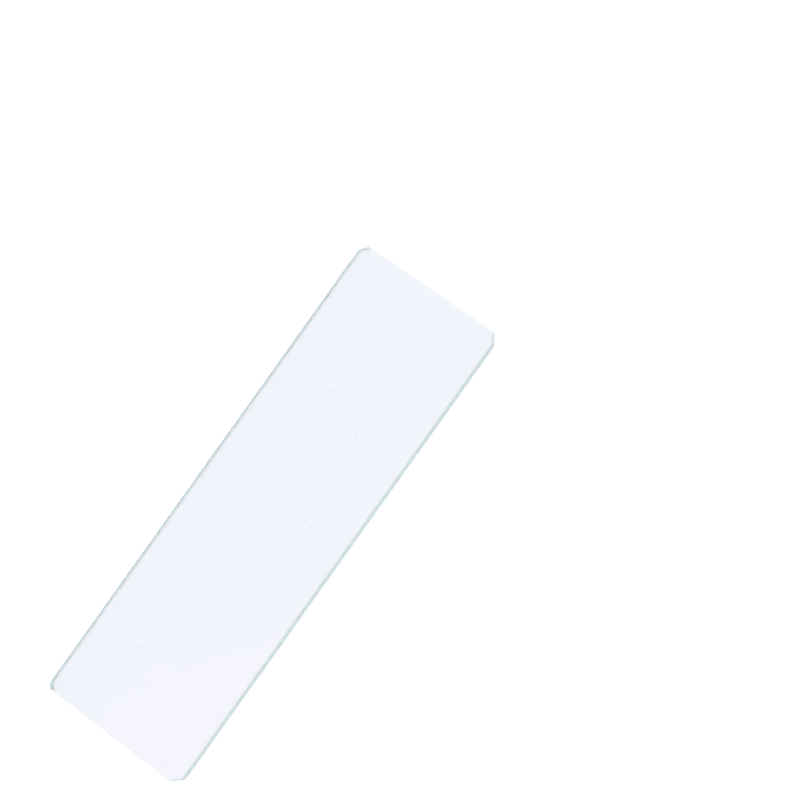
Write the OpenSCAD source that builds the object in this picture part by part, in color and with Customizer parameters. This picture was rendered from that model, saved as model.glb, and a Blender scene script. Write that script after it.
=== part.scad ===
// Plain glass microscope slide: one flat plate with clipped corners and ground edges.
// Millimetres. The origin is the centre of the bottom face, +X runs along the length,
// +Y across the width and +Z up through the thickness.

/* [Plate] */
// Length of the slide, from end edge to end edge
slide_length = 76.2; // [50:0.1:100]
// Width of the slide, from long edge to long edge
slide_width = 25.4; // [18:0.1:52]
// Thickness of the glass, from face to face
slide_thickness = 1.2; // [0.8:0.05:2]

/* [Edges] */
// Leg of the 45 degree clip that takes off each corner
corner_clip = 1.5; // [0.5:0.1:5]
// Leg of the 45 degree arris ground off every sharp edge of both faces
arris = 0.1; // [0.02:0.01:0.3]

/* [Hidden] */

// Distance between two clips that face each other across the plate
clip_span = (slide_length + slide_width - 2 * corner_clip) * sin(45);
// Length of the bars that the plate is cut from, longer than the plate at any angle
bar_length = 2 * (slide_length + slide_width);

// Section of a flat bar that lies across Y, with its four long edges broken
module bar_section(span) {
  half = span / 2;
  polygon([
    [-half, arris],
    [-half + arris, 0],
    [half - arris, 0],
    [half, arris],
    [half, slide_thickness - arris],
    [half - arris, slide_thickness],
    [-half + arris, slide_thickness],
    [-half, slide_thickness - arris]
  ]);
}

// Flat bar on Z = 0 with two parallel ground edges, its width along the given angle
module edged_bar(span, angle) {
  rotate([0, 0, angle])
    translate([0, bar_length / 2, 0])
      rotate([90, 0, 0])
        linear_extrude(height = bar_length)
          bar_section(span);
}

// The plate is what four such bars have in common: one gives the two ends, one the
// long edges, and the two diagonal ones the clipped corners
module glass_slide() {
  color([0.80, 0.93, 0.92, 0.45])
    intersection() {
      edged_bar(slide_length, 0);
      edged_bar(slide_width, 90);
      edged_bar(clip_span, 45);
      edged_bar(clip_span, -45);
    }
}

glass_slide();
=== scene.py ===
"""Looks of a plain glass microscope slide, which lies flat on a pale floor.

One closed mesh stands for the plate. The section of its ground edge is carried round the
outline and closed over both faces, so that light runs inside the glass as it does in a real
plate. Lengths are metres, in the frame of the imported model, unless a name or a class says
otherwise.
"""

import logging
import math
from dataclasses import dataclass
from enum import Enum
from typing import Any

import bpy
import numpy as np
from mathutils import Matrix, Vector

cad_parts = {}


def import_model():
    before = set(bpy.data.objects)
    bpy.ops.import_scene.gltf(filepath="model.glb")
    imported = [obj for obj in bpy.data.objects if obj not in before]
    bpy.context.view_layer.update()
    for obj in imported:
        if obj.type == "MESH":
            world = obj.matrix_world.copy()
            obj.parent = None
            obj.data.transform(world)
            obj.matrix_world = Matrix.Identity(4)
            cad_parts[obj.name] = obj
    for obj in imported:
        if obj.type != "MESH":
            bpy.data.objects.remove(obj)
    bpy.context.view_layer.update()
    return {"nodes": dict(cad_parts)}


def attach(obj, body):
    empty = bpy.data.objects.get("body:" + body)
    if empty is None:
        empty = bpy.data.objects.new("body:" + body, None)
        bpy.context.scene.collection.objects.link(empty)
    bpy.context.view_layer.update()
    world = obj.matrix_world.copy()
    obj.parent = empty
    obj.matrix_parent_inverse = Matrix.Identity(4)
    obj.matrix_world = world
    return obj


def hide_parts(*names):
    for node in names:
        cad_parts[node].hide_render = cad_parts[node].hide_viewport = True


Triple = tuple[float, float, float]

LOG = logging.getLogger("microscope_slide")
MM = 0.001
SAME_PLACE = 0.001 * MM  # points nearer than this are at one place
WHITE: Triple = (1.0, 1.0, 1.0)
NOISE_MIDDLE = 0.5  # the value that a noise node swings about


class Grind(Enum):
    """How coarsely a stretch of the surface is ground, as the value that the mask holds."""

    POLISHED = 0.0
    FINE = 0.08
    MEDIUM = 0.5
    COARSE = 1.0


# --------------------------------------------------------------------------- shader maths


class Signal:
    """A socket of a node tree that takes part in Python expressions.

    Each operator adds one Math node, so an expression on signals builds its own tree.
    """

    def __init__(self, tree: "ShaderTree", socket: bpy.types.NodeSocket | None) -> None:
        """Keep the tree and the output socket that carries the value, if there is one."""
        self.tree = tree
        self.socket = socket

    def math(self, operation: str, *others: "Signal | float") -> "Signal":
        """Add a Math node of this operation, with this signal as its first value."""
        return self.tree.maths(operation, self, *others)

    def __add__(self, other: "Signal | float") -> "Signal":
        """Sum of two values."""
        return self.math("ADD", other)

    __radd__ = __add__

    def __sub__(self, other: "Signal | float") -> "Signal":
        """Difference of two values."""
        return self.math("SUBTRACT", other)

    def __rsub__(self, other: float) -> "Signal":
        """Number less this value."""
        return self.tree.maths("SUBTRACT", other, self)

    def __mul__(self, other: "Signal | float") -> "Signal":
        """Product of two values."""
        return self.math("MULTIPLY", other)

    __rmul__ = __mul__

    def clamp(self) -> "Signal":
        """This value, held between 0 and 1."""
        return self.math("MAXIMUM", 0.0).math("MINIMUM", 1.0)

    def rise(self, low: float, high: float) -> "Signal":
        """Make a smooth step of this value.

        Args:
            low: Value at which the step leaves 0.
            high: Value at which it reaches 1.

        Returns:
            The step.
        """
        settings = {"interpolation_type": "SMOOTHSTEP"}
        plugs = {"Value": self, "From Min": low, "From Max": high}
        return self.tree.node("ShaderNodeMapRange", settings, plugs, "Result")


def opaque(colour: Signal | Triple) -> Signal | tuple[float, ...]:
    """Colour as a socket takes it: three numbers get an alpha of 1, a signal stays."""
    return colour if isinstance(colour, Signal) else (*colour, 1.0)


class ShaderTree:
    """Node tree of one material or world, filled by expressions and by one node method."""

    def __init__(self, owner: bpy.types.Material | bpy.types.World) -> None:
        """Empty a node tree and keep it.

        Args:
            owner: The material or world that the tree belongs to.
        """
        owner.use_nodes = True
        self.tree = owner.node_tree
        self.tree.nodes.clear()

    def node(
        self,
        kind: str,
        settings: dict[str, Any] | None = None,
        plugs: dict[str | int, Any] | None = None,
        output: str | int = 0,
    ) -> Signal:
        """Add a node of any type.

        Args:
            kind: Blender's name for the node type.
            settings: The node's own properties, which are set before its sockets.
            plugs: Value or signal of each input socket, by name or place.
            output: The socket that the returned signal reads.

        Returns:
            The signal of that output, or an empty one where the node has none.
        """
        made = self.tree.nodes.new(kind)
        for name, value in (settings or {}).items():
            setattr(made, name, value)
        for name, value in (plugs or {}).items():
            if isinstance(value, Signal):
                self.tree.links.new(value.socket, made.inputs[name])
            else:
                made.inputs[name].default_value = value
        return Signal(self, made.outputs[output] if len(made.outputs) else None)

    def maths(self, operation: str, *values: Signal | float) -> Signal:
        """Add a Math node of this operation on these values."""
        return self.node("ShaderNodeMath", {"operation": operation}, dict(enumerate(values)))

    def vector(
        self, operation: str, first: Signal, second: Signal | Triple, output: str | int = 0
    ) -> Signal:
        """Add a Vector Math node on two vectors.

        Args:
            operation: The node's operation.
            first: The first vector.
            second: The second vector, as a signal or as plain numbers.
            output: The socket that is read: the first one holds a vector.

        Returns:
            The signal of that output.
        """
        plugs = {0: first, 1: second}
        return self.node("ShaderNodeVectorMath", {"operation": operation}, plugs, output)

    def distance(self, first: Signal, second: Signal | Triple) -> Signal:
        """How far apart two points are."""
        return self.vector("DISTANCE", first, second, "Value")

    def dot(self, first: Signal, second: Signal | Triple) -> Signal:
        """Dot product of two vectors."""
        return self.vector("DOT_PRODUCT", first, second, "Value")

    def blend(self, share: Signal, first: Signal | Triple, second: Signal | Triple) -> Signal:
        """Mix two colours.

        Args:
            share: 0 where the first colour shows, and 1 where the second does.
            first: The first colour, as a signal or as plain numbers.
            second: The second colour.

        Returns:
            The mixed colour. The Mix node keeps its colour sockets after those of its other
            kinds, so they are told by place.
        """
        settings = {"data_type": "RGBA", "blend_type": "MIX"}
        plugs = {0: share, 6: opaque(first), 7: opaque(second)}
        return self.node("ShaderNodeMix", settings, plugs, 2)

    def noise(self, place: Signal, scale: float = 1.0, detail: float = 3.0) -> Signal:
        """Add fractal noise with about scale bumps to each unit of place."""
        plugs = {"Vector": place, "Scale": scale, "Detail": detail}
        return self.node("ShaderNodeTexNoise", {}, plugs, "Fac")


# --------------------------------------------------------------------------- finishes


@dataclass(frozen=True)
class Hairline:
    """One fine straight scratch on the top face, in millimetres."""

    middle: tuple[float, float]
    length: float
    angle_deg: float
    half_width: float = 0.035
    strength: float = 0.5

    def mask(self, tree: ShaderTree, at_mm: Signal, thickness_mm: float) -> Signal:
        """Draw the scratch.

        Args:
            tree: The tree to draw in.
            at_mm: Place on the plate.
            thickness_mm: Height of the top face, which the scratch lies on.

        Returns:
            The strength on the scratch's line, fading to 0 at its half width. The distance is
            to the nearest point of the line: its middle plus the run along it, held to its
            ends.
        """
        turn = math.radians(self.angle_deg)
        along = (math.cos(turn), math.sin(turn), 0.0)
        middle = (*self.middle, thickness_mm)
        half = self.length / 2
        run = tree.dot(tree.vector("SUBTRACT", at_mm, middle), along)
        held = run.math("MAXIMUM", -half).math("MINIMUM", half)
        reach = tree.node(
            "ShaderNodeVectorMath",
            {"operation": "SCALE"},
            {0: along, "Scale": held},
        )
        nearest = tree.vector("ADD", reach, middle)
        away = tree.distance(at_mm, nearest).rise(0.0, self.half_width)
        return (1.0 - away) * self.strength


@dataclass(frozen=True)
class Speck:
    """One round dark spot, in millimetres: dust on the top face, or a dark grey spot elsewhere.
    """

    place: Triple
    radius: float
    strength: float
    solid_share: float = 0.5

    def mask(self, tree: ShaderTree, at_mm: Signal) -> Signal:
        """Draw the speck, which is solid in its middle and fades to 0 at its radius."""
        away = tree.distance(at_mm, self.place).rise(self.solid_share * self.radius, self.radius)
        return (1.0 - away) * self.strength


@dataclass(frozen=True)
class SlideGlass:
    """Clear soda-lime glass with polished faces and ground, faintly green edges.

    Scales are bumps to a millimetre, streak_stretch along each axis. A film of handling lies
    on the faces, save toward one corner, clean_way, where it is wiped off: clean_from and
    clean_wander are millimetres. The faces' colour, film or no film, also holds a painted
    lavender reflection of a bluish sky.
    """

    thickness: float
    name: str = "clear_slide_glass"
    refraction: float = 1.52
    # The two face colours are the glass's and the film's own tint with a painted lavender
    # reflection of a bluish sky mixed in.
    face_tint_and_sheen: Triple = (0.874, 0.872, 0.926)
    film_tint_and_sheen: Triple = (0.849, 0.865, 0.910)
    edge_tint: Triple = (0.697, 0.787, 0.780)
    mark_tint: Triple = (0.48, 0.50, 0.54)
    depth_colour: Triple = (0.24, 0.79, 0.80)
    depth_density: float = 6.0
    face_roughness: float = 0.004
    smudge_roughness: float = 0.05
    smudge_scale: float = 0.11
    smudge_detail: float = 4.0
    smudge_from: tuple[float, float] = (0.45, 0.80)
    smudge_share: float = 0.25
    film_share: float = 0.9
    clean_way: Triple = (-0.51, -0.86, 0.0)
    clean_from: tuple[float, float] = (12.0, 18.0)
    clean_wander: float = 16.0
    clean_scale: float = 0.09
    edge_roughness: float = 0.93
    streak_stretch: Triple = (0.6, 0.6, 9.0)
    streak_spread: float = 0.10
    streak_height: float = 0.4
    grain_scale: float = 3.0
    grain_spread: float = 0.04
    grain_height: float = 0.6
    relief: float = 0.004 * MM
    hairlines: tuple[Hairline, ...] = (
        Hairline((-0.6, 0.5), 6.0, 157.0, 0.05),
        Hairline((-10.5, 2.1), 3.4, 118.0),
        Hairline((14.0, -4.6), 4.8, 24.0),
        Hairline((-24.5, -5.0), 2.6, 75.0),
        Hairline((25.5, 5.2), 3.8, 141.0),
    )
    specks: tuple[Speck, ...] = (
        Speck((1.9, -5.1, 1.2), 0.30, 0.28),
        Speck((-30.3, 7.4, 1.2), 0.26, 0.16),
        Speck((18.7, 3.1, 1.2), 0.30, 0.22),
        Speck((-25.7, 4.2, 1.2), 0.55, 0.10),
        # A dark grey spot halfway up the coarse clip wall at the -X, +Y corner.
        Speck((-37.85, 11.85, 0.5), 0.50, 1.00),
    )

    def marks(self, tree: ShaderTree, at_mm: Signal) -> Signal:
        """Add up the hairline scratches and the specks.

        Args:
            tree: The tree to draw in.
            at_mm: Place on the plate.

        Returns:
            How strongly a point is marked, from 0 to 1.
        """
        masks = [hairline.mask(tree, at_mm, self.thickness / MM) for hairline in self.hairlines]
        masks += [speck.mask(tree, at_mm) for speck in self.specks]
        return sum(masks).clamp()

    def film(self, tree: ShaderTree, at_mm: Signal, smudge: Signal) -> Signal:
        """Spread a thin film of handling over the faces.

        Args:
            tree: The tree to draw in.
            at_mm: Place on the plate.
            smudge: Where the film is smeared.

        Returns:
            Share of the film. It is wiped off toward one corner, where the distance along
            clean_way, less or more by a slow noise, passes clean_from.
        """
        wander = (tree.noise(at_mm, self.clean_scale) - NOISE_MIDDLE) * self.clean_wander
        wiped = (tree.dot(at_mm, self.clean_way) + wander).rise(*self.clean_from)
        return (1.0 - wiped) * self.film_share + smudge * self.smudge_share

    def material(self) -> bpy.types.Material:
        """Build the material.

        Returns:
            One material for the whole closed plate: a mask tells the ground edge from the
            faces, and the glass inside takes out red light over a long way.
        """
        made = bpy.data.materials.new(self.name)
        tree = ShaderTree(made)
        ground = tree.node("ShaderNodeAttribute", {"attribute_name": "ground"}, {}, "Fac")
        place = tree.node("ShaderNodeTexCoord", {}, {}, "Object")
        at_mm = tree.vector("MULTIPLY", place, (1 / MM, 1 / MM, 1 / MM))
        smudges = tree.noise(at_mm, self.smudge_scale, self.smudge_detail)
        smudge = smudges.rise(*self.smudge_from)
        streaks = tree.noise(tree.vector("MULTIPLY", at_mm, self.streak_stretch))
        grain = tree.noise(at_mm, self.grain_scale)
        polished = self.face_roughness + smudge * self.smudge_roughness
        streak_part = (streaks - NOISE_MIDDLE) * self.streak_spread
        grain_part = (grain - NOISE_MIDDLE) * self.grain_spread
        matt = self.edge_roughness + (streak_part + grain_part)
        roughness = polished * (1.0 - ground) + matt * ground
        # The faces' colour holds a painted lavender reflection besides the film's own tint.
        face = tree.blend(self.film(tree, at_mm, smudge), self.face_tint_and_sheen, self.film_tint_and_sheen)
        clean = tree.blend(ground, face, self.edge_tint)
        colour = tree.blend(self.marks(tree, at_mm), clean, self.mark_tint)
        height = ground * (grain * self.grain_height + streaks * self.streak_height)
        bump = {"Distance": self.relief, "Height": height}
        normal = tree.node("ShaderNodeBump", {}, bump)
        surface = tree.node(
            "ShaderNodeBsdfPrincipled",
            {},
            {
                "Base Color": colour,
                "Roughness": roughness,
                "Normal": normal,
                "IOR": self.refraction,
                "Transmission Weight": 1.0,
            },
        )
        depth = tree.node(
            "ShaderNodeVolumeAbsorption",
            {},
            {"Color": opaque(self.depth_colour), "Density": self.depth_density},
        )
        tree.node("ShaderNodeOutputMaterial", {}, {"Surface": surface, "Volume": depth})
        return made


@dataclass(frozen=True)
class PaleFloor:
    """Matt white sweep that the slide lies on, lit from below as well as from above."""

    name: str = "pale_floor"
    colour: Triple = (0.30, 0.30, 0.30)
    glow: float = 0.74
    roughness: float = 0.9
    specular: float = 0.2
    mottle_scale: float = 9.0
    mottle_share: float = 0.985

    def material(self) -> bpy.types.Material:
        """Build the material.

        Returns:
            A plain matt white with a barely visible mottle and an even glow.
        """
        made = bpy.data.materials.new(self.name)
        tree = ShaderTree(made)
        place = tree.node("ShaderNodeTexCoord", {}, {}, "Object")
        darker = tuple(self.mottle_share * part for part in self.colour)
        colour = tree.blend(tree.noise(place, self.mottle_scale), darker, self.colour)
        surface = tree.node(
            "ShaderNodeBsdfPrincipled",
            {},
            {
                "Base Color": colour,
                "Roughness": self.roughness,
                "Specular IOR Level": self.specular,
                "Emission Color": opaque(WHITE),
                "Emission Strength": self.glow,
            },
        )
        tree.node("ShaderNodeOutputMaterial", {}, {"Surface": surface})
        return made


# --------------------------------------------------------------------------- the plate


def placed(name: str, data: bpy.types.ID) -> bpy.types.Object:
    """Put data into the scene.

    Args:
        name: Name of the new object.
        data: Its mesh, lamp or camera.

    Returns:
        The object, which sits at the origin.
    """
    made = bpy.data.objects.new(name, data)
    bpy.context.scene.collection.objects.link(made)
    return made


@dataclass(frozen=True)
class PlateSizes:
    """Sizes of the plate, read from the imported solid."""

    length: float
    width: float
    thickness: float
    clip: float
    arris: float

    @classmethod
    def of_node(cls, node: bpy.types.Object) -> "PlateSizes":
        """Measure a plate that lies on Z = 0 with its middle at the origin.

        Args:
            node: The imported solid's object.

        Returns:
            Its sizes. The clip is what the furthest corner point lacks along X plus Y, and
            the arris is how far the end wall's lowest point stands above the bottom face.
        """
        flat = np.empty(len(node.data.vertices) * 3, np.float32)
        node.data.vertices.foreach_get("co", flat)
        x, y, z = flat.reshape(-1, 3).astype(float).T
        wall = z[x > x.max() - SAME_PLACE]
        clip = x.max() + y.max() - (x + y).max()
        return cls(2 * x.max(), 2 * y.max(), z.max(), clip, wall.min())


@dataclass(frozen=True)
class Clip:
    """One clipped corner.

    It has the signs of its X and Y, its two legs as shares of the nominal one, how coarsely
    it is ground, and how far its wall leans in under the top face.
    """

    toward: tuple[int, int]
    side_share: float
    end_share: float
    grind: Grind = Grind.MEDIUM
    lean_deg: float = 0.0


@dataclass(frozen=True)
class Outline:
    """Anticlockwise path round the plate: straight sides joined by small arcs.

    The corners are ground off by eye, so each one has legs of its own.
    """

    sizes: PlateSizes
    clips: tuple[Clip, ...] = (
        Clip((-1, -1), 0.84, 0.98, Grind.MEDIUM, 6.0),
        Clip((1, -1), 0.95, 0.68, Grind.MEDIUM, 5.0),
        Clip((1, 1), 0.76, 0.72, Grind.MEDIUM, 4.0),
        Clip((-1, 1), 0.42, 0.42, Grind.COARSE, 13.0),
    )
    corner_radius: float = 0.20 * MM
    step: float = 0.12 * MM
    arc_steps: int = 5

    def clip_ends(self, clip: Clip) -> np.ndarray:
        """Find the two ends of a clip's wall.

        Args:
            clip: The clipped corner.

        Returns:
            Where the clip meets the plate's end, and where it meets the long side. Each is
            the corner less a leg: the clip's share of the nominal one.
        """
        toward = np.array(clip.toward)
        corner = toward * (self.sizes.length, self.sizes.width) / 2
        on_end = corner - (0.0, toward[1] * clip.end_share * self.sizes.clip)
        on_side = corner - (toward[0] * clip.side_share * self.sizes.clip, 0.0)
        return np.array([on_end, on_side])

    def corners(self) -> np.ndarray:
        """List the corners of the sharp outline.

        Returns:
            The two ends of each clip's wall, anticlockwise.
        """
        points = []
        for place, clip in enumerate(self.clips):
            ends = self.clip_ends(clip)
            points.append(ends if place % 2 == 0 else ends[::-1])
        return np.vstack(points)

    def samples(self) -> tuple[np.ndarray, np.ndarray]:
        """Walk the path.

        Returns:
            Points on the path and the outward normal at each. A side is its start plus a
            share of the way to its end, less what the arcs take. An arc is its centre plus
            the radius times the turning normal, and takes the radius times the tangent of
            half its turn.
        """
        corners = self.corners()
        sides = np.roll(corners, -1, axis=0) - corners
        reaches = np.linalg.norm(sides, axis=1)
        heading = np.arctan2(sides[:, 1], sides[:, 0])
        turns = (np.roll(heading, -1) - heading) % (2 * math.pi)
        trims = self.corner_radius * np.tan(turns / 2)
        points, normals = [], []
        for place, (start, angle) in enumerate(zip(corners, heading)):
            along = np.array([math.cos(angle), math.sin(angle)])
            outward = np.array([along[1], -along[0]])
            straight = reaches[place] - trims[place - 1] - trims[place]
            count = math.ceil(straight / self.step)
            share = np.arange(count)[:, None] / count
            points.append(start + along * (trims[place - 1] + share * straight))
            normals.append(np.repeat(outward[None], count, axis=0))
            arc_start = start + along * (reaches[place] - trims[place])
            swept = np.arange(self.arc_steps) / self.arc_steps * turns[place]
            spokes_at = angle - math.pi / 2 + swept
            spokes = np.stack([np.cos(spokes_at), np.sin(spokes_at)], axis=1)
            centre = arc_start - outward * self.corner_radius
            points.append(centre + self.corner_radius * spokes)
            normals.append(spokes)
        return np.vstack(points), np.vstack(normals)


@dataclass(frozen=True)
class EdgeSection:
    """Section through the ground edge, from inside the top face round to the bottom one.

    Its face_rings lie that many millimetres inside the arris. Toward the ends the arris
    shrinks to end_share of itself, over the range end_turn of the normal's share along X.
    """

    sizes: PlateSizes
    squareness: float = 5.0
    arris_steps: int = 5
    wall_steps: int = 10
    face_rings: tuple[float, ...] = (0.85, 0.70, 0.55, 0.40, 0.26, 0.14, 0.05)
    end_turn: tuple[float, float] = (0.80, 1.0)
    end_share: float = 0.12

    def arrises(self, normal: np.ndarray) -> np.ndarray:
        """Find the leg of the arris all the way round.

        Args:
            normal: Outward normal of each sample of the outline.

        Returns:
            The plate's own arris, which shrinks to a share of itself as the normal turns to
            the ends. They are left sharper than the long sides.
        """
        endwise = np.abs(normal[:, 0])
        return self.sizes.arris * np.interp(endwise, self.end_turn, (1.0, self.end_share))

    def arris_arc(self) -> tuple[np.ndarray, np.ndarray]:
        """Inset and drop along one arris, from the face to the wall, as shares of its leg.

        Returns:
            Two arrays. The arris is a superellipse: a flat 45 degree land at a squareness of
            1, a quarter round at 2, and ever nearer to a sharp edge above that.
        """
        turn = np.linspace(0.0, math.pi / 2, self.arris_steps + 1)
        power = 2.0 / self.squareness
        return 1.0 - np.sin(turn) ** power, 1.0 - np.cos(turn) ** power

    def points(self, arris: np.ndarray) -> tuple[np.ndarray, np.ndarray]:
        """Lay out the section's points, one for each ring, all the way round.

        Args:
            arris: Leg of the arris at each sample of the outline.

        Returns:
            Inset from the wall and height above the bottom face, by ring and sample. The top
            half is the face, the arris and the wall, and the bottom half is the same turned
            over.
        """
        inset, drop = self.arris_arc()
        face = np.array(self.face_rings)[:, None] * MM + arris
        top_inset = np.concatenate([face, inset[:, None] * arris])
        top_drop = np.concatenate([np.zeros_like(face), drop[:, None] * arris])
        wall = np.linspace(arris, self.sizes.thickness - arris, self.wall_steps + 1)[1:-1]
        insets = np.concatenate([top_inset, np.zeros_like(wall), top_inset[::-1]])
        drops = np.concatenate([top_drop, wall, self.sizes.thickness - top_drop[::-1]])
        return insets, self.sizes.thickness - drops

    def ground_rings(self) -> tuple[int, int]:
        """First and last ring of the ground edge, arrises included."""
        first = len(self.face_rings)
        return first, first + 2 * self.arris_steps + self.wall_steps


@dataclass(frozen=True)
class EdgeWear:
    """What grinding and handling leave on the edge: leaning, wavy walls and small chips.

    The lean of the long walls comes in over the range side_turn of the normal's share along
    Y. A clip's own lean dies out lean_margin past its ends. Either lean moves the faces too,
    as far in as lean_depth.
    """

    chips: int = 16
    chip_leg: float = 0.17 * MM
    chip_sizes: tuple[float, float] = (0.6, 1.0)
    chip_stretches: tuple[float, float] = (0.8, 1.8)
    side_lean_deg: float = 2.2
    side_turn: tuple[float, float] = (0.80, 1.0)
    lean_margin: float = 0.55 * MM
    lean_depth: float = 1.0 * MM
    waviness: float = 0.006 * MM
    wave_turns: tuple[int, ...] = (5, 13, 31, 67, 127, 241)
    seed: int = 11

    def chip_legs(self, run: np.ndarray, total: float, rng: np.random.Generator) -> np.ndarray:
        """Legs of the small chips along one arris.

        Args:
            run: Distance along the outline of each sample.
            total: Length of the whole outline.
            rng: Source of the chips' places and sizes.

        Returns:
            At each sample the leg of the largest chip there. A chip of half width w has a
            leg of its size times 1 less the square of the distance over w.
        """
        middle = rng.uniform(0.0, total, self.chips)
        size = self.chip_leg * rng.uniform(*self.chip_sizes, self.chips)
        half = size * rng.uniform(*self.chip_stretches, self.chips)
        away = np.abs(run[:, None] - middle)
        away = np.minimum(away, total - away) / half
        return (size * np.clip(1.0 - away**2, 0.0, None)).max(axis=1)

    def fade(self, inset: np.ndarray) -> np.ndarray:
        """Share of a lean that is left: 1 on the wall, and evenly less to 0 at lean_depth."""
        return np.clip(1.0 - inset / self.lean_depth, 0.0, None)

    def side_slope(self, normal: np.ndarray, inset: np.ndarray) -> np.ndarray:
        """How far the long walls lean in under the top face.

        Args:
            normal: Outward normal of each sample.
            inset: Distance from the wall, by ring and sample.

        Returns:
            Tangent of the lean by ring and sample. It rises from 0 as the normal turns to the
            long sides, and fades inwards from the wall.
        """
        sidewise = np.interp(np.abs(normal[:, 1]), self.side_turn, (0.0, 1.0))
        return math.tan(math.radians(self.side_lean_deg)) * sidewise * self.fade(inset)

    def clip_slope(
        self, clip: Clip, path: np.ndarray, ends: np.ndarray, inset: np.ndarray
    ) -> np.ndarray:
        """How far one clip's wall leans in under the top face.

        Args:
            clip: The clipped corner.
            path: Point on the outline of each sample.
            ends: The two ends of the clip's wall.
            inset: Distance from the wall, by ring and sample.

        Returns:
            Tangent of the lean by ring and sample. It is whole on the wall, dies out a margin
            past its ends as 1 less the fourth power of the distance, and fades inwards.
        """
        reach = np.linalg.norm(ends[1] - ends[0]) / 2 + self.lean_margin
        away = np.linalg.norm(path - ends.mean(axis=0), axis=1) / reach
        along = np.clip(1.0 - away**4, 0.0, None)
        return math.tan(math.radians(clip.lean_deg)) * along * self.fade(inset)

    def waves(self, run: np.ndarray, total: float, rng: np.random.Generator) -> np.ndarray:
        """Inset of the wavy wall.

        Args:
            run: Distance along the outline of each sample.
            total: Length of the whole outline.
            rng: Source of the waves' phases.

        Returns:
            Inset of each sample, from 0 to the waviness: a sum of sines with whole turns
            round the outline, the nth of them over the square root of n.
        """
        turns = np.array(self.wave_turns)
        phase = rng.uniform(0.0, 2 * math.pi, len(turns))
        angle = 2 * math.pi * run[:, None] / total * turns + phase
        swing = (np.sin(angle) / np.sqrt(np.arange(1, len(turns) + 1))).sum(axis=1)
        return self.waviness * (swing - swing.min()) / (swing.max() - swing.min())


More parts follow.
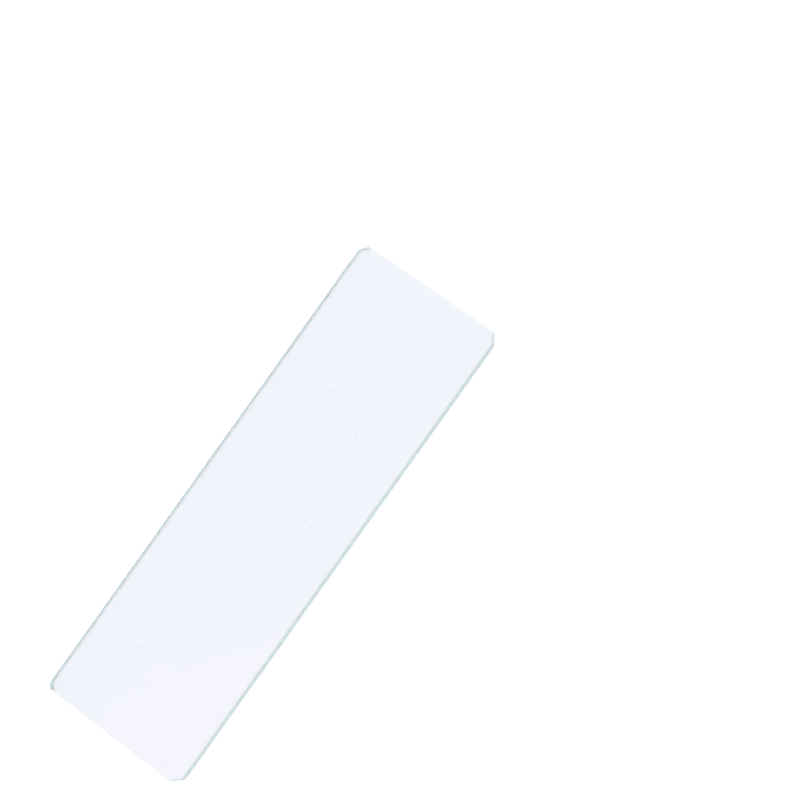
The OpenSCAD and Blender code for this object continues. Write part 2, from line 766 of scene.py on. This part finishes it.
@dataclass(frozen=True)
class GlassPlate:
    """The whole slide: one closed glass mesh with its finish.

    A wall is an end where the share of its normal along X is above end_facing, a clip between
    that and clip_facing, and a long wall below.
    """

    sizes: PlateSizes
    finish: SlideGlass
    wear: EdgeWear
    name: str = "glass_plate"
    clip_facing: float = 0.35
    end_facing: float = 0.93

    def sharp_rings(
        self, path: np.ndarray, normal: np.ndarray, section: EdgeSection
    ) -> np.ndarray:
        """Carry the section round the outline, as it is before any wear.

        Args:
            path: Points on the outline.
            normal: Outward normal at each.
            section: The section that is carried along the path.

        Returns:
            X and Y by ring and sample. A ring on the edge is the path moved in along its
            normal by the ring's inset. A ring on a face is a share of the way from the
            face's own outline to the spine.
        """
        arris = section.arrises(normal)
        inset = section.points(arris)[0]
        first, last = section.ground_rings()
        face_edge = path - normal * arris[:, None]
        inward = (self.spine(path) - face_edge) / (self.sizes.width / 2 - arris)[:, None]
        flat = face_edge + inward * (inset - arris)[..., None]
        edge = path - normal * inset[..., None]
        ring = np.arange(len(inset))
        on_edge = ((ring >= first) & (ring <= last))[:, None, None]
        return np.where(on_edge, edge, flat)

    def rings(self, outline: Outline, section: EdgeSection) -> tuple[np.ndarray, np.ndarray]:
        """Carry the section round the outline and wear it.

        Args:
            outline: The path.
            section: The section that is carried along it.

        Returns:
            Points by ring, sample and axis, and how far each is cut back. A chip is a 45
            degree facet: a point whose inset plus drop falls short of the facet's leg moves
            in and away from the face by half of what it lacks. Its leg shrinks with the
            arris. A leaning wall moves in by its slope times the depth below the top face.
        """
        path, normal = outline.samples()
        arris = section.arrises(normal)
        inset, height = section.points(arris)
        run, total = self.run(path)
        rng = np.random.default_rng(self.wear.seed)
        waves = self.wear.waves(run, total, rng)
        deep_wall = np.clip(1.0 - inset / arris, 0.0, 1.0)
        across = self.sharp_rings(path, normal, section)
        across = across - normal * (waves * deep_wall)[..., None]
        level = height
        cuts = np.zeros_like(height)
        for side in (1.0, -1.0):  # the top arris, then the bottom one
            legs = self.wear.chip_legs(run, total, rng) * arris / self.sizes.arris
            drop = self.sizes.thickness - height if side > 0 else height
            cut = 0.5 * np.clip(legs - inset - drop, 0.0, None)
            across = across - normal * cut[..., None]
            level = level - side * cut
            cuts = np.maximum(cuts, cut)
        depth = self.sizes.thickness - level
        slope = self.wear.side_slope(normal, inset)
        across = across - normal * (slope * depth)[..., None]
        for clip in outline.clips:
            slope = self.wear.clip_slope(clip, path, outline.clip_ends(clip), inset)
            inwards = -np.array(clip.toward) / math.sqrt(2.0)
            across = across + inwards * (slope * depth)[..., None]
        return np.concatenate([across, level[..., None]], axis=2), cuts

    def grind(self, outline: Outline, section: EdgeSection, cuts: np.ndarray) -> np.ndarray:
        """How coarsely each quad is ground.

        Args:
            outline: The path.
            section: The section that was carried along it.
            cuts: How far each point is cut back, by ring and sample.

        Returns:
            Mask by band and sample, where band n lies between rings n - 1 and n. The arrises
            and the two end walls are finely ground, each clip in its own way, and the long
            walls coarsely. A chip is a clean break. What a wall is, is told by how far its
            normal turns to the plate's ends.
        """
        normal = outline.samples()[1]
        first, last = section.ground_rings()
        land = section.arris_steps
        bands = np.full(len(cuts) + 1, Grind.POLISHED.value)
        bands[first + 1 : last + 1] = Grind.FINE.value
        bands[first + land + 1 : last - land + 1] = Grind.COARSE.value
        mask = np.repeat(bands[:, None], len(normal), axis=1)
        endwise = np.abs(normal[:, 0])
        limit = np.where(endwise > self.end_facing, Grind.FINE.value, Grind.COARSE.value)
        for clip in outline.clips:
            faces_it = (np.sign(normal) == clip.toward).all(axis=1)
            on_clip = faces_it & (endwise > self.clip_facing) & (endwise < self.end_facing)
            limit = np.where(on_clip, clip.grind.value, limit)
        mask = np.minimum(mask, limit)
        mask[1:-1][np.minimum(cuts[:-1], cuts[1:]) > 0.0] = Grind.FINE.value
        return mask

    def run(self, path: np.ndarray) -> tuple[np.ndarray, float]:
        """Distance along a closed path of each of its points, and its whole length."""
        hops = np.linalg.norm(np.roll(path, -1, axis=0) - path, axis=1)
        return np.concatenate([[0.0], np.cumsum(hops)[:-1]]), float(hops.sum())

    @property
    def spine_end(self) -> float:
        """Half the length of the spine, the middle line that stops half a width short."""
        return (self.sizes.length - self.sizes.width) / 2

    def spine(self, path: np.ndarray) -> np.ndarray:
        """Nearest point of the spine to each path point."""
        along = np.clip(path[:, 0], -self.spine_end, self.spine_end)
        return np.stack([along, np.zeros(len(along))], axis=1)

    def ridge(self, path: np.ndarray, step: float) -> tuple[np.ndarray, np.ndarray]:
        """Lay out the points that close a face, as a ridge closes a hipped roof.

        Args:
            path: Points on the outline.
            step: Greatest distance between two neighbours on the outline.

        Returns:
            Points along the spine, and for each path point the place of the nearest one.
            They are two steps apart, so neighbours on the path share a ridge point or take
            two that touch, and both slopes of a face meet on the same ridge edges.
        """
        gaps = int(self.spine_end / step)
        along = np.linspace(-self.spine_end, self.spine_end, gaps + 1)
        shares = (self.spine(path)[:, 0] / self.spine_end + 1.0) / 2
        return np.column_stack([along, np.zeros(gaps + 1)]), np.rint(shares * gaps).astype(int)

    def mesh(self) -> bpy.types.Mesh:
        """Build the closed mesh.

        Returns:
            The rings joined by quads, with a ridge along the middle of each face. A quad
            whose two ridge corners are one point is a triangle.
        """
        outline, section = Outline(self.sizes), EdgeSection(self.sizes)
        rings, cuts = self.rings(outline, section)
        ring_count, samples = rings.shape[:2]
        ridge, nearest = self.ridge(outline.samples()[0], outline.step)
        levels = (self.sizes.thickness, 0.0)
        ridges = [np.column_stack([ridge, np.full(len(ridge), level)]) for level in levels]
        points = np.vstack([rings.reshape(-1, 3), *ridges])
        top = ring_count * samples + nearest
        bottom = top + len(ridge)
        grid = np.arange(ring_count * samples).reshape(ring_count, samples)
        grid = np.vstack([top[None], grid, bottom[None]])
        ahead = np.roll(grid, -1, axis=1)
        quads = np.stack([grid[:-1], grid[1:], ahead[1:], ahead[:-1]], axis=-1).reshape(-1, 4)
        at_top = quads[:, 0] == quads[:, 3]
        at_bottom = quads[:, 1] == quads[:, 2]
        groups = (
            (~(at_top | at_bottom), [0, 1, 2, 3]),
            (at_top, [0, 1, 2]),
            (at_bottom, [0, 1, 3]),
        )
        faces = [face for which, kept in groups for face in quads[which][:, kept].tolist()]
        mask = self.grind(outline, section, cuts).ravel()
        mask = np.concatenate([mask[which] for which, _ in groups])
        made = bpy.data.meshes.new(self.name)
        made.from_pydata(points.tolist(), [], faces)
        made.polygons.foreach_set("use_smooth", mask > Grind.POLISHED.value)
        ground = made.attributes.new("ground", "FLOAT", "FACE")
        ground.data.foreach_set("value", mask.astype(np.float32))
        made.update()
        return made

    def build(self) -> bpy.types.Object:
        """Make the plate.

        Returns:
            Its object, whose mesh is dressed in its finish.
        """
        made = placed(self.name, self.mesh())
        made.data.materials.append(self.finish.material())
        return made


# --------------------------------------------------------------------------- the studio


def direction(azimuth_deg: float, elevation_deg: float) -> Vector:
    """Unit vector from the slide outwards: azimuth 0 is the front, -Y, and 90 is +X."""
    a, e = math.radians(azimuth_deg), math.radians(elevation_deg)
    return Vector((math.sin(a) * math.cos(e), -math.cos(a) * math.cos(e), math.sin(e)))


def looking_back(way: Vector) -> Matrix:
    """Turn of a lamp or camera that stands out along a way and looks back along it."""
    return (-way).to_track_quat("-Z", "Y").to_matrix().to_4x4()


@dataclass(frozen=True)
class SoftBox:
    """Large square lamp, aimed at the origin."""

    name: str
    azimuth_deg: float
    elevation_deg: float
    distance: float
    side: float
    power: float

    def build(self) -> None:
        """Make the lamp, which is white and looks at the origin from its own direction."""
        data = bpy.data.lights.new(self.name, "AREA")
        data.shape = "SQUARE"
        data.size = self.side
        data.energy = self.power
        data.color = WHITE
        way = direction(self.azimuth_deg, self.elevation_deg)
        place = Matrix.Translation(way * self.distance)
        placed(self.name, data).matrix_world = place @ looking_back(way)


@dataclass(frozen=True)
class View:
    """Long lens that looks down on the slide and is rolled about its own axis."""

    aim: Triple = (0.02308, -0.00561, 0.0)
    azimuth_deg: float = -1.62
    elevation_deg: float = 63.86
    roll_deg: float = -53.07
    distance: float = 0.6930
    lens_mm: float = 225.0
    sensor_mm: float = 36.0
    clip_range: tuple[float, float] = (0.01, 20.0)

    def build(self) -> None:
        """Make the scene's camera, which backs off from the aim, looks at it, and rolls."""
        data = bpy.data.cameras.new("camera")
        data.lens = self.lens_mm
        data.sensor_width = self.sensor_mm
        data.clip_start, data.clip_end = self.clip_range
        way = direction(self.azimuth_deg, self.elevation_deg)
        place = Matrix.Translation(Vector(self.aim) + way * self.distance)
        roll = Matrix.Rotation(math.radians(self.roll_deg), 4, "Z")
        made = placed("camera", data)
        made.matrix_world = place @ looking_back(way) @ roll
        bpy.context.scene.camera = made


@dataclass(frozen=True)
class Studio:
    """Pale floor, even white sky and large soft lamps."""

    floor_radius: float = 6.0
    floor_gap: float = 0.02 * MM
    sky_strength: float = 1.08
    bounces: int = 64
    glass_bounces: int = 48
    matt_bounces: int = 8
    lamps: tuple[SoftBox, ...] = (
        SoftBox("key_lamp", -60.0, 55.0, 1.6, 1.2, 1.6),
        SoftBox("fill_lamp", 120.0, 50.0, 1.8, 1.4, 0.8),
    )

    def floor(self) -> None:
        """Make the floor, a square just under the slide's bottom face."""
        r, z = self.floor_radius, -self.floor_gap
        data = bpy.data.meshes.new("floor")
        data.from_pydata([(-r, -r, z), (r, -r, z), (r, r, z), (-r, r, z)], [], [(0, 1, 2, 3)])
        data.materials.append(PaleFloor().material())
        placed("floor", data)

    def sky(self) -> None:
        """Light the scene evenly from all round."""
        world = bpy.data.worlds.new("sky")
        bpy.context.scene.world = world
        tree = ShaderTree(world)
        plugs = {"Color": opaque(WHITE), "Strength": self.sky_strength}
        light = tree.node("ShaderNodeBackground", {}, plugs)
        tree.node("ShaderNodeOutputWorld", {}, {"Surface": light})

    def build(self) -> None:
        """Set up the floor, the sky, the lamps and how far light is followed."""
        self.floor()
        self.sky()
        for lamp in self.lamps:
            lamp.build()
        scene = bpy.context.scene
        scene.view_settings.view_transform = "Standard"
        scene.cycles.max_bounces = self.bounces
        scene.cycles.glossy_bounces = self.glass_bounces
        scene.cycles.transmission_bounces = self.glass_bounces
        scene.cycles.diffuse_bounces = self.matt_bounces
        scene.cycles.blur_glossy = 0.0


def main() -> None:
    """Build the slide and the studio round it, and write down how large each model is."""
    logging.basicConfig(level=logging.INFO, format="%(message)s")
    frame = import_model()
    sizes = PlateSizes.of_node(frame["nodes"]["glass_slide"])
    LOG.info("plate sizes in mm: %s", [round(v / MM, 3) for v in vars(sizes).values()])

    plate = GlassPlate(sizes, SlideGlass(sizes.thickness), EdgeWear()).build()
    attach(plate, "root")
    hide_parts("glass_slide")
    LOG.info("%s: %d faces", plate.name, len(plate.data.polygons))

    Studio().build()
    View().build()
    LOG.info("studio and camera are in place")


if __name__ == "__main__":
    main()
